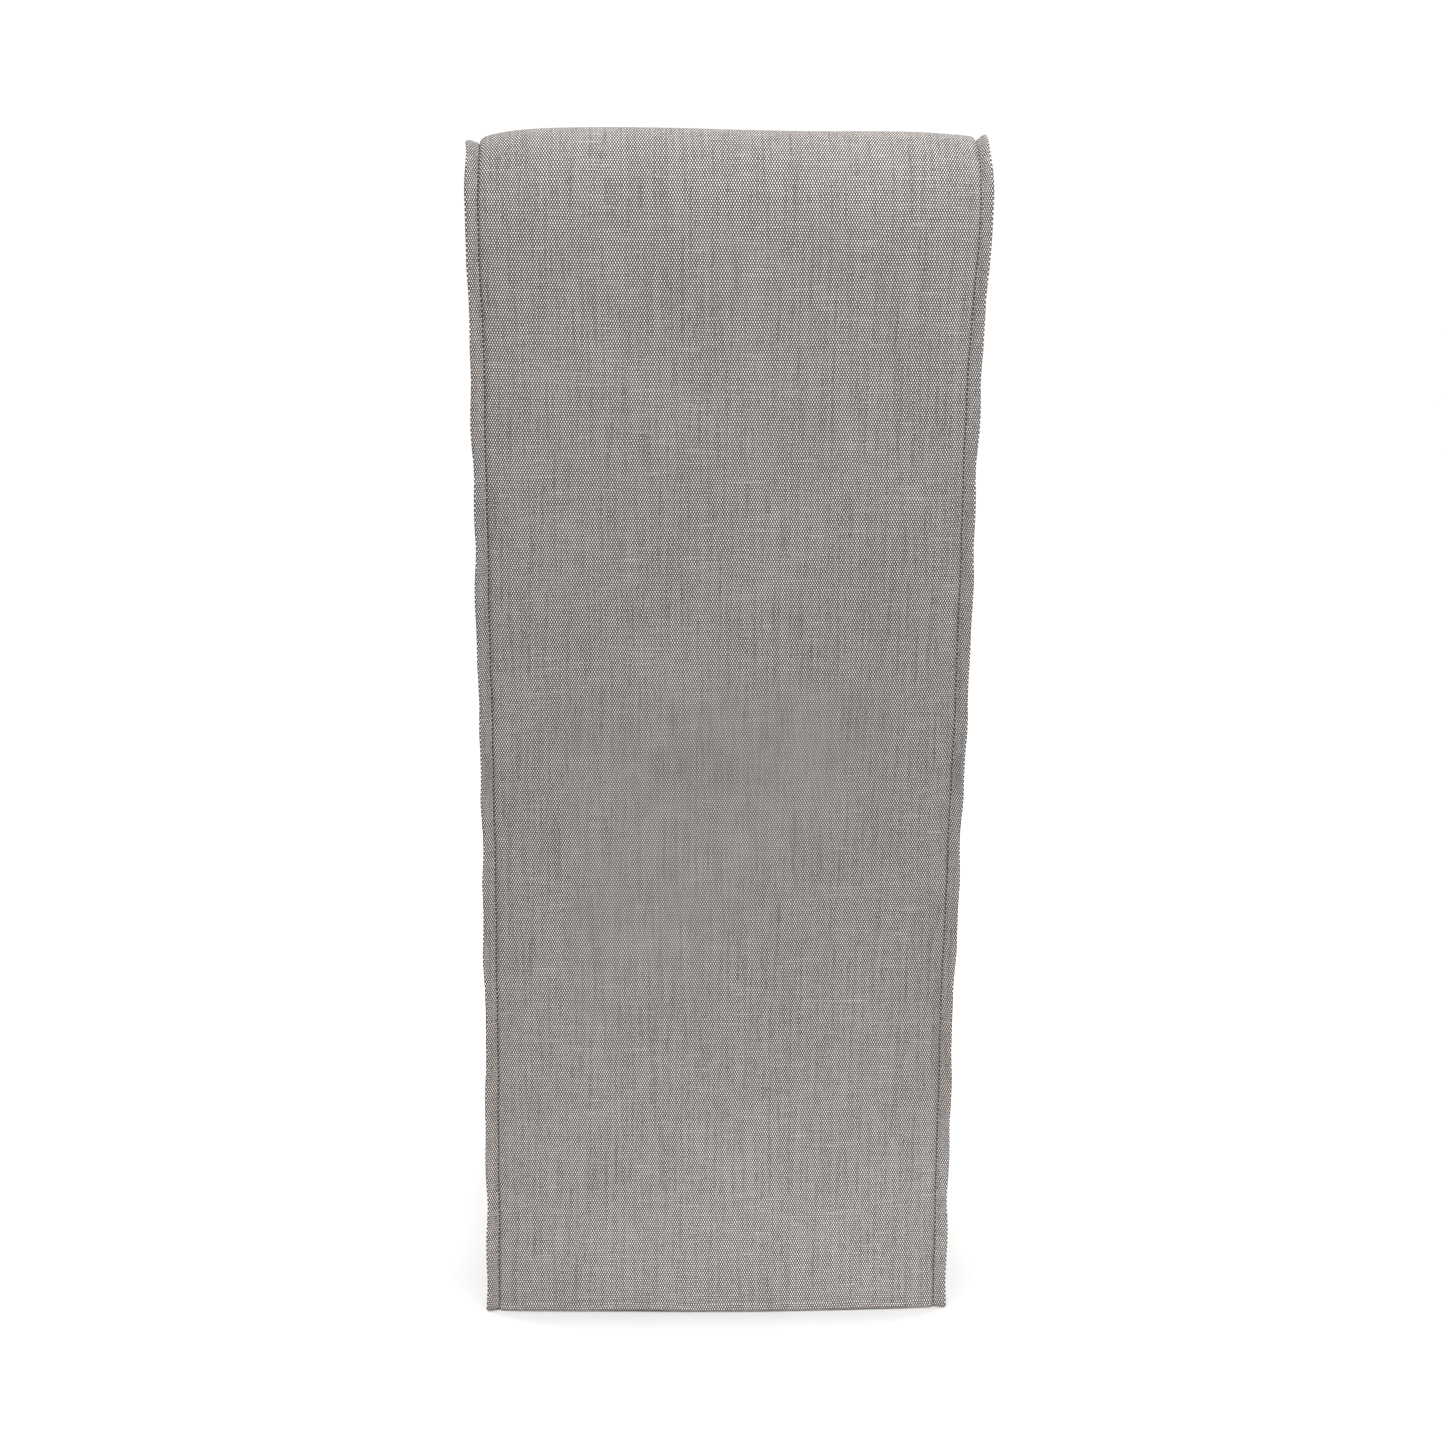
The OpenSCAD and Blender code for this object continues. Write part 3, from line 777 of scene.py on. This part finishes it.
def seat_height_at(share_x, run):
    """The seat cover's height over the floor, run being the distance forward of the crease at the back."""
    depth = FRONT_Y - CREASE_Y
    share_y = 2 * run / depth - 1
    crown = (1 - np.abs(share_x) ** 7) * (1 - np.abs(share_y) ** 9)
    to_seam = np.minimum(HALF * (1 - np.abs(share_x)), np.minimum(run, depth - run))
    pillow = 4 * MM * (1 - share_x**2) * (1 - share_y**2)
    soft = ripple(share_x * HALF, run, [(0.5 * MM, 3.1, 2.2, 0.3), (0.35 * MM, -4.3, 5.1, 1.3)]) * crown
    tuck = 10 * MM * np.exp(-run / (5 * MM))
    rise = SEAT_RISE * crown * 0.75 + pillow + soft + 2 * MM * (1 - np.exp(-to_seam / (2 * MM)))
    return SEAM_Z - 1.5 * MM + rise - tuck


def seat_top():
    share_x, run = np.meshgrid(across_shares(), fine_at_ends(FRONT_Y - CREASE_Y, ACROSS_STEP))
    z = seat_height_at(share_x, run)
    points = np.stack([share_x * HALF, CREASE_Y + run, z], axis=-1)
    return cloth_sheet("seat_cloth", points, points[..., :2], COVER)


def seat_flange(name, side):
    """Along one side of the seat, or along its front where side is 0. The ends are mitred."""
    length = FRONT_Y - CREASE_Y
    run = spaced(2 * HALF if side == 0 else length, 4 * MM)
    n = len(run)
    if side == 0:
        seam = np.stack([run - HALF, np.full(n, FRONT_Y - 1 * MM), np.full(n, SEAM_Z)], axis=1)
        out = np.tile([0, 1.0, 0], (n, 1))
        out[:, 0] = np.clip((np.abs(run - HALF) - HALF + MITRE) / MITRE, 0, 1) * np.sign(run - HALF)
    else:
        seam = np.stack([np.full(n, side * (HALF - 1 * MM)), CREASE_Y + run, np.full(n, SEAM_Z)], axis=1)
        out = np.tile([float(side), 0, 0], (n, 1))
        out[:, 1] = np.clip((run - length + MITRE) / MITRE, 0, 1)
    up = np.tile([0, 0, 1.0], (n, 1))
    return flange(name, seam, out, up, run, np.full(n, SEAT_FLANGE_WIDTH), EDGE_TILT, side >= 0)


# ---- Stitching ----


def stitches(name, path, normal, pitch=3.3 * MM, length=2.6 * MM, radius=0.28 * MM):
    """Separate stitches of thread along a path, each a grain that dips in at both ends."""
    run = np.concatenate([[0], np.cumsum(np.linalg.norm(np.diff(path, axis=0), axis=1))])
    starts = np.arange(pitch / 2, run[-1] - length, pitch)
    shares = np.array([0, 0.16, 0.5, 0.84, 1.0])
    thick = np.array([0.25, 0.85, 1.0, 0.85, 0.25]) * radius
    sunk = np.array([-1.2, -0.1, 0.35, -0.1, -1.2]) * radius
    at = starts[:, None] + shares[None, :] * length
    centre = np.stack([np.interp(at, run, path[:, k]) for k in range(3)], axis=-1)
    up = np.stack([np.interp(at, run, normal[:, k]) for k in range(3)], axis=-1)
    up /= np.linalg.norm(up, axis=-1, keepdims=True)
    way = np.gradient(centre, axis=1)
    way /= np.linalg.norm(way, axis=-1, keepdims=True)
    side = np.cross(way, up)
    turn = np.arange(6) * math.pi / 3
    centre = centre + up * sunk[None, :, None]
    cos, sin = np.cos(turn)[:, None], np.sin(turn)[:, None]
    spoke = cos * up[:, :, None, :] + sin * side[:, :, None, :]
    block = (centre[:, :, None, :] + spoke * thick[:, None, None]).reshape(len(starts), -1, 3)
    one = [tuple(f) for f in grid_faces(5, 6, False, closed=True)]
    one += [(5, 4, 3, 2, 1, 0), (24, 25, 26, 27, 28, 29)]
    faces = [tuple(i + k * 30 for i in f) for k in range(len(starts)) for f in one]
    return new_object(name, block.reshape(-1, 3), faces)


# ---- Padding ----


def baked(o):
    """Replaces an object's mesh with what its modifiers make of it."""
    bpy.context.view_layer.update()
    whole = o.evaluated_get(bpy.context.evaluated_depsgraph_get())
    mesh = bpy.data.meshes.new_from_object(whole)
    o.modifiers.clear()
    o.data = mesh
    return o


def read_points(o):
    flat = np.empty(len(o.data.vertices) * 3)
    o.data.vertices.foreach_get("co", flat)
    return flat.reshape(-1, 3)


def write_points(o, points):
    o.data.vertices.foreach_set("co", points.ravel())
    o.data.update()


def softened(name, node, voxel=6 * MM, rounds=14):
    """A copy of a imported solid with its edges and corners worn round, as cut foam and fibre are."""
    o = bpy.data.objects.new(name, nodes[node].data.copy())
    bpy.context.collection.objects.link(o)
    o.data.materials.clear()
    remesh = o.modifiers.new("remesh", "REMESH")
    remesh.mode = "VOXEL"
    remesh.voxel_size = voxel
    relax = o.modifiers.new("relax", "SMOOTH")
    relax.factor = 0.6
    relax.iterations = rounds
    baked(o)
    o.data.polygons.foreach_set("use_smooth", [True] * len(o.data.polygons))
    return o


def nearest_run(y, z):
    """The distance along the outline of its point nearest to each (y, z)."""
    best = np.empty(len(y), int)
    for start in range(0, len(y), 4000):
        part = slice(start, start + 4000)
        gap = (y[part, None] - outline[:, 0]) ** 2 + (z[part, None] - outline[:, 1]) ** 2
        best[part] = gap.argmin(axis=1)
    return outline_run[best]


UNDER = 4.2 * MM


def tuck_under_back(o):
    """Presses a pad in wherever it would stand through the covers of the back."""
    points = read_points(o)
    s = nearest_run(points[:, 1], points[:, 2])
    at, out = on_outline(s)
    share = np.clip(points[:, 0] / HALF, -1, 1)
    lift = ((points[:, 1:] - at) * out).sum(axis=1)
    most = back_lift(share, s) - UNDER - 1.5 * MM * np.abs(share) ** 20
    points[:, 1:] -= out * np.maximum(lift - most, 0)[:, None]
    points[:, 0] = np.clip(points[:, 0], UNDER - HALF, HALF - UNDER)
    write_points(o, points)
    return o


def tuck_under_seat(o):
    """The same for a pad under the seat's cover."""
    points = read_points(o)
    share = np.clip(points[:, 0] / HALF, -1, 1)
    run = np.clip(points[:, 1] - CREASE_Y, 0, FRONT_Y - CREASE_Y)
    points[:, 2] = np.minimum(points[:, 2], seat_height_at(share, run) - UNDER)
    write_points(o, points)
    return o


# ---- Muslin undercovers ----

MUSLIN = 0.7 * MM
UNDER_GAP = 2.8 * MM


def back_muslin():
    s = S_WAIST + 2 * MM + fine_at_ends(S_SEAT - S_WAIST - 4 * MM, 9 * MM)
    share, run = np.meshgrid(across_shares() * (1 - UNDER_GAP / HALF), s)
    puckers = ripple(share * HALF, run, [(0.25 * MM, 9, 6, 0.2), (0.2 * MM, -14, 11, 1.2)]) * (1 - share**8)
    points = back_point(share, run, back_lift(share, run, UNDER_GAP) + puckers)
    wrap = cloth_sheet("back_muslin", points, np.stack([share * HALF, run], axis=-1), MUSLIN)
    sides = [back_gusset(f"back_muslin_{w}", side, UNDER_GAP, MUSLIN) for w, side in SIDES.items()]
    return join("back_muslin", [wrap, *sides])


def seat_muslin():
    rail_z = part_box("seat_undercover")[0].z
    share_x, run = np.meshgrid(across_shares(), fine_at_ends(FRONT_Y - UNDER_GAP - CREASE_Y, 9 * MM))
    z = seat_height_at(share_x, run) - UNDER_GAP
    x = share_x * (HALF - UNDER_GAP)
    points = np.stack([x, CREASE_Y + run, z], axis=-1)
    parts = [cloth_sheet("seat_muslin", points, np.stack([x, run], axis=-1), MUSLIN)]
    for side in SIDES.values():
        edge = np.stack([x[:, 0] * -side, CREASE_Y + run[:, 0], z[:, 0]], axis=-1)
        parts.append(drop_sheet(edge, rail_z, side > 0, side))
    edge = np.stack([x[-1], CREASE_Y + run[-1], z[-1]], axis=-1)
    parts.append(drop_sheet(edge, rail_z, True, 0))
    return join("seat_muslin", parts)


def drop_sheet(edge, low, flip, side):
    """Cloth that falls from an edge of the seat to its staples under the rail."""
    down = np.linspace(0, 1, 16)[:, None]
    z = edge[None, :, 2] * (1 - down) + low * down
    along = edge[None, :, 1 if side else 0] + 0 * down
    pull = 0.6 * MM * np.sin(2 * math.pi * along / 0.037) * down
    points = np.repeat(edge[None], len(down), axis=0)
    points[..., 2] = z
    points[..., 0 if side else 1] -= (side or 1) * (0.5 * MM + np.abs(pull)) * (down > 0)
    return cloth_sheet("drop", points, np.stack([along, z], axis=-1), MUSLIN, flip=flip)


# ---- Webbing ----

STRAP = 50 * MM
STRAP_THICK = 1.4 * MM
WEAVE_LIFT = 0.75 * MM
FOLD_BACK = 22 * MM
long_low, long_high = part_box("seat_webbing_lengthwise")
cross_low, cross_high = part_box("seat_webbing_crosswise")
strap_xs = np.linspace(long_low.x + STRAP / 2, long_high.x - STRAP / 2, 4)
strap_ys = np.linspace(cross_low.y + STRAP / 2, cross_high.y - STRAP / 2, 5)


def strap(name, centre, wide, normal):
    """A woven strap along a path, with soft edges and a folded end where the path turns back."""
    half, thick = STRAP / 2, STRAP_THICK / 2
    section = [(-1, 0), (-0.985, 0.7), (-0.94, 1), (0, 1.04), (0.94, 1), (0.985, 0.7)]
    section = np.array(section + [(-a, -b) for a, b in section])
    offset = section[None, :, :1] * half * wide + section[None, :, 1:] * thick * normal[:, None, :]
    rings = centre[:, None, :] + offset
    run = np.concatenate([[0], np.cumsum(np.linalg.norm(np.diff(centre, axis=0), axis=1))])
    uv = np.stack(np.broadcast_arrays(section[None, :, 0] * half, run[:, None]), axis=-1)
    return loft(name, rings, uv, flip=False)


def strap_path(length, lift):
    """Distance and height along a strap that is folded back on itself at both ends."""
    turn = STRAP_THICK * 0.55
    flat = np.linspace(turn, length - turn, 121)
    inner = np.array([FOLD_BACK, FOLD_BACK * 0.6, 2.5 * turn])
    start = np.concatenate([inner, [turn * 0.3, 0]])
    along = np.concatenate([start, flat, length - start[::-1]])
    high = np.full(3, 2.1 * turn)
    rise = np.concatenate([high, [1.7 * turn, turn], lift(flat), [turn, 1.7 * turn], high])
    way = np.gradient(np.stack([along, rise], axis=1), axis=0)
    way /= np.linalg.norm(way, axis=1, keepdims=True)
    return along, rise, np.stack([-way[:, 1], way[:, 0]], axis=1)


def over_under(at, crossings, first):
    """+1 over and -1 under each crossing strap in turn, and level between them."""
    total = 0
    for k, crossing in enumerate(crossings):
        reach = np.clip(1 - (np.abs(at - crossing) - STRAP / 2) / (12 * MM), 0, 1)
        total = total + (1 if (k + first) % 2 else -1) * reach * reach * (3 - 2 * reach)
    return total


def seat_webbing():
    base = long_low.z + STRAP_THICK / 2
    ease = 0.5 * WEAVE_LIFT
    lengthwise, crosswise = [], []
    for i, x in enumerate(strap_xs):
        def lift(at, first=i):
            return ease + ease * over_under(long_low.y + at, strap_ys, first)
        along, rise, turned = strap_path(long_high.y - long_low.y, lift)
        centre = np.stack([np.full(len(along), x), long_low.y + along, base + rise], axis=1)
        normal = np.stack([np.zeros(len(along)), turned[:, 0], turned[:, 1]], axis=1)
        lengthwise.append(strap("strap", centre, np.array([-1.0, 0, 0]), normal))
    for j, y in enumerate(strap_ys):
        def lift(at, first=j):
            return ease - ease * over_under(cross_low.x + at, strap_xs, first)
        along, rise, turned = strap_path(cross_high.x - cross_low.x, lift)
        centre = np.stack([cross_low.x + along, np.full(len(along), y), base + rise], axis=1)
        normal = np.stack([turned[:, 0], np.zeros(len(along)), turned[:, 1]], axis=1)
        crosswise.append(strap("strap", centre, np.array([0, 1.0, 0]), normal))
    return join("seat_straps_lengthwise", lengthwise), join("seat_straps_crosswise", crosswise)


def back_straps():
    low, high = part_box("back_webbing")
    slope = (high.y - low.y - STRAP_THICK) / (high.z - low.z)
    up = np.array([0, -slope, 1.0])
    up /= np.linalg.norm(up)
    out = np.array([0, up[2], -up[1]])
    straps = []
    for z in np.linspace(low.z + STRAP / 2, high.z - STRAP / 2, 6):
        along, rise, turned = strap_path(high.x - low.x, lambda at: 0 * at)
        y = high.y - STRAP_THICK / 2 - slope * (z - low.z)
        centre = np.array([low.x, y, z]) + along[:, None] * [1, 0, 0] + rise[:, None] * 0.3 * out
        normal = turned[:, :1] * [1, 0, 0] + turned[:, 1:] * out
        straps.append(strap("strap", centre, -up, normal))
    return join("back_straps", straps)


# ---- Dust cover and staples ----


def dust_sheet():
    low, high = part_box("dust_cover")
    leg_low, post_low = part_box("front_leg_right")[0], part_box("rear_post_right")[0]
    xs = np.unique(np.concatenate([np.linspace(low.x, high.x, 61), [leg_low.x, -leg_low.x]]))
    ys = np.linspace(low.y, high.y, 75)
    x, y = np.meshgrid(xs, ys)
    share_x, share_y = 2 * (x - low.x) / (high.x - low.x) - 1, 2 * (y - low.y) / (high.y - low.y) - 1
    loose = (1 - share_x**4) * (1 - share_y**4)
    creases = ripple(x, y, [(0.6 * MM, 7, 3, 0.4), (0.5 * MM, -4, 9, 1.6)])
    z = high.z - 0.4 * MM - loose * (3.2 * MM + creases)
    mid_x, mid_y = (x[:-1, :-1] + x[1:, 1:]) / 2, (y[:-1, :-1] + y[1:, 1:]) / 2
    clear = 1.5 * MM
    leg = (np.abs(mid_x) > leg_low.x - clear) & (mid_y > leg_low.y - clear)
    post = (np.abs(mid_x) > post_low.x - clear) & (mid_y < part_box("seat_rail_left")[0].y + clear)
    points, uv = np.stack([x, y, z], axis=-1), np.stack([x, y], axis=-1)
    return cloth_sheet("dust_sheet", points, uv, 0.4 * MM, flip=True, keep=~(leg | post))


def staples(name, centres, way, out):
    """Wire staples: each a bent crown whose ends turn into the wood."""
    half = [(-5, -1.2), (-4.9, 0.1), (-4.2, 0.35)]
    bend = np.array([*half, (0, 0.4), *[(-a, b) for a, b in half[::-1]]]) * MM
    turn = np.arange(6) * math.pi / 3
    parts = []
    for centre in centres:
        side = np.cross(way, out)
        ring = np.cos(turn)[:, None] * out + np.sin(turn)[:, None] * side * 1.6
        line = centre + bend[:, :1] * way + bend[:, 1:] * out
        rings = line[:, None, :] + ring[None] * 0.35 * MM
        parts.append(loft("staple", rings, np.zeros((7, 6, 2))))
    return join(name, parts)


def all_staples():
    low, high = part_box("dust_cover")
    x_axis, y_axis, up = np.eye(3)
    edge = 6 * MM
    across = np.linspace(-0.135, 0.135, 10)
    along = np.linspace(low.y + 0.06, high.y - 0.06, 12)
    rows, columns = (low.y + edge, high.y - edge), (low.x + edge, high.x - edge)
    under = [staples("a", [(x, y, low.z) for x in across for y in rows], x_axis, -up)]
    under.append(staples("b", [(x, y, low.z) for y in along for x in columns], y_axis, -up))
    top = long_low.z + 1.3 * STRAP_THICK + 0.45 * MM
    spots = np.array([-16, 0, 16]) * MM
    inward = 10 * MM
    ends = [long_low.y + inward, long_high.y - inward]
    over = [staples("c", [(x + d, y, top) for x in strap_xs for d in spots for y in ends], x_axis, up)]
    ends = [cross_low.x + inward, cross_high.x - inward]
    over.append(staples("d", [(x, y + d, top) for y in strap_ys for d in spots for x in ends], y_axis, up))
    return join("dust_cover_staples", under), join("webbing_staples", over)


# ---- Making the pieces ----

linen = cover_cloth()
thread = thread_material()


def finish_piece(o, material, slot, *stands_for):
    o.data.materials.append(material)
    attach(o, "root")
    if stands_for:
        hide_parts(*stands_for)
    return o


def make_cover():
    cloths = {
        "outside_back": finish_piece(outside_back(), linen, "cover_linen", "outside_back_panel"),
        "inside_back": finish_piece(inside_back(), linen, "cover_linen", "inside_back_panel"),
        "front_skirt": finish_piece(front_skirt(), linen, "cover_linen", "skirt_front"),
        "seat": finish_piece(seat_top(), linen, "cover_linen", "seat_panel"),
    }
    finish_piece(seat_flange("seat_flange_front_cloth", 0), linen, "cover_linen", "seat_flange_front")
    for word, side in SIDES.items():
        gusset = back_gusset(f"back_side_{word}_cloth", side)
        cloths[f"gusset_{word}"] = finish_piece(gusset, linen, "cover_linen", f"back_side_panel_{word}")
        skirt = side_skirt(f"side_skirt_{word}_cloth", side)
        cloths[f"side_skirt_{word}"] = finish_piece(skirt, linen, "cover_linen", f"skirt_{word}")
        for part, make in (("back", back_flange), ("seat", seat_flange), ("corner", corner_flange)):
            node = f"{part}_flange_{word}"
            finish_piece(make(f"{node}_cloth", side), linen, "cover_linen", node)
    return cloths


def make_padding():
    foam = soft_filling("foam", (0.72, 0.6, 0.33, 1), (0.86, 0.77, 0.5, 1), 420, 0.3 * MM)
    fibre = soft_filling("batting", (0.7, 0.7, 0.68, 1), (0.92, 0.92, 0.9, 1), 150, 0.8 * MM)
    muslin = plain_weave("muslin", grey(196, 186, 162), grey(226, 218, 198), 0.8 * MM)
    pads = [
        finish_piece(tuck_under_seat(softened("seat_foam_slab", "seat_foam")), foam, "foam", "seat_foam"),
        finish_piece(tuck_under_back(softened("back_foam_slab", "back_foam")), foam, "foam", "back_foam"),
    ]
    for part in ("rear", "crest"):
        node = f"back_{part}_padding"
        pads.append(finish_piece(tuck_under_back(softened(f"{part}_fibre", node)), fibre, "batting", node))
    for word, side in SIDES.items():
        o = back_gusset(f"side_fibre_{word}", side, UNDER, 4 * MM)
        pads.append(finish_piece(o, fibre, "batting", f"side_batting_{word}"))
    back = finish_piece(back_muslin(), muslin, "muslin", "back_undercover")
    seat = finish_piece(seat_muslin(), muslin, "muslin", "seat_undercover")


def make_springing():
    red = (grey(132, 52, 44), 22 * MM)
    jute = plain_weave("webbing", grey(112, 84, 52), grey(176, 142, 96), 1.6 * MM, 0.85, red)
    lengthwise, crosswise = seat_webbing()
    finish_piece(lengthwise, jute, "webbing", "seat_webbing_lengthwise")
    finish_piece(crosswise, jute, "webbing", "seat_webbing_crosswise")
    finish_piece(back_straps(), jute, "webbing", "back_webbing")
    black = plain_weave("cambric", (0.012, 0.012, 0.013, 1), (0.035, 0.035, 0.037, 1), 0.7 * MM)
    dust = finish_piece(dust_sheet(), black, "cambric", "dust_cover")


def make_frame():
    """Materials and worn edges for the wooden frame and its fittings."""
    dark, light = grey(150, 112, 70), grey(205, 168, 118)
    woods = [wood(f"frame_wood_{axis}", k, dark, light) for k, axis in enumerate("xyz")]
    grain = {"rear_post": 2, "front_leg": 2, "seat_rail_left": 1, "seat_rail_right": 1}
    steel = hard_finish("screw_steel", (0.5, 0.49, 0.45, 1), 0.34, 1.0, 0.05 * MM, 700)
    nylon = hard_finish("glide_nylon", (0.11, 0.105, 0.1, 1), 0.45, 0.0, 0.05 * MM, 500)
    dowel = wood("dowel_wood", 0, grey(188, 152, 106), grey(222, 190, 142))
    other = {"frame_dowels": dowel, "corner_block_screws": steel, "glides": nylon}
    words = ("rear_post", "front_leg", "seat_rail", "back_rail", "corner_block")
    for name, o in nodes.items():
        material = other.get(name)
        if material is None and not name.startswith(words):
            continue
        axis = next((k for word, k in grain.items() if name.startswith(word)), 0)
        o.data.materials.clear()
        o.data.materials.append(material or woods[axis])
        edge = o.modifiers.new("worn_edges", "BEVEL")
        edge.width = (0.3 if material else 1.4) * MM
        edge.segments = 2
        edge.limit_method = "ANGLE"
    under, over = all_staples()
    finish_piece(under, steel, "screw_steel")
    finish_piece(over, steel, "screw_steel")


def make_stitching():
    parts = [stitches("seam", path, normal) for path, normal in seams]
    finish_piece(join("flange_stitching", parts), thread, "cover_linen")


def share_lights():
    """Keeps the lights that model the cloth off the floor, and the floor's own light off the chair."""
    chair = bpy.data.collections.new("lit_chair")
    floor = bpy.data.collections.new("lit_floor")
    for o in bpy.context.scene.objects:
        if o.type == "MESH":
            (floor if o.name == "floor" else chair).objects.link(o)
    for light, on_chair, on_floor in lights:
        if not on_floor:
            light.light_linking.receiver_collection = chair
        if not on_chair:
            light.light_linking.receiver_collection = floor


add_camera()
add_studio()
make_cover()
make_padding()
make_springing()
make_frame()
make_stitching()
share_lights()
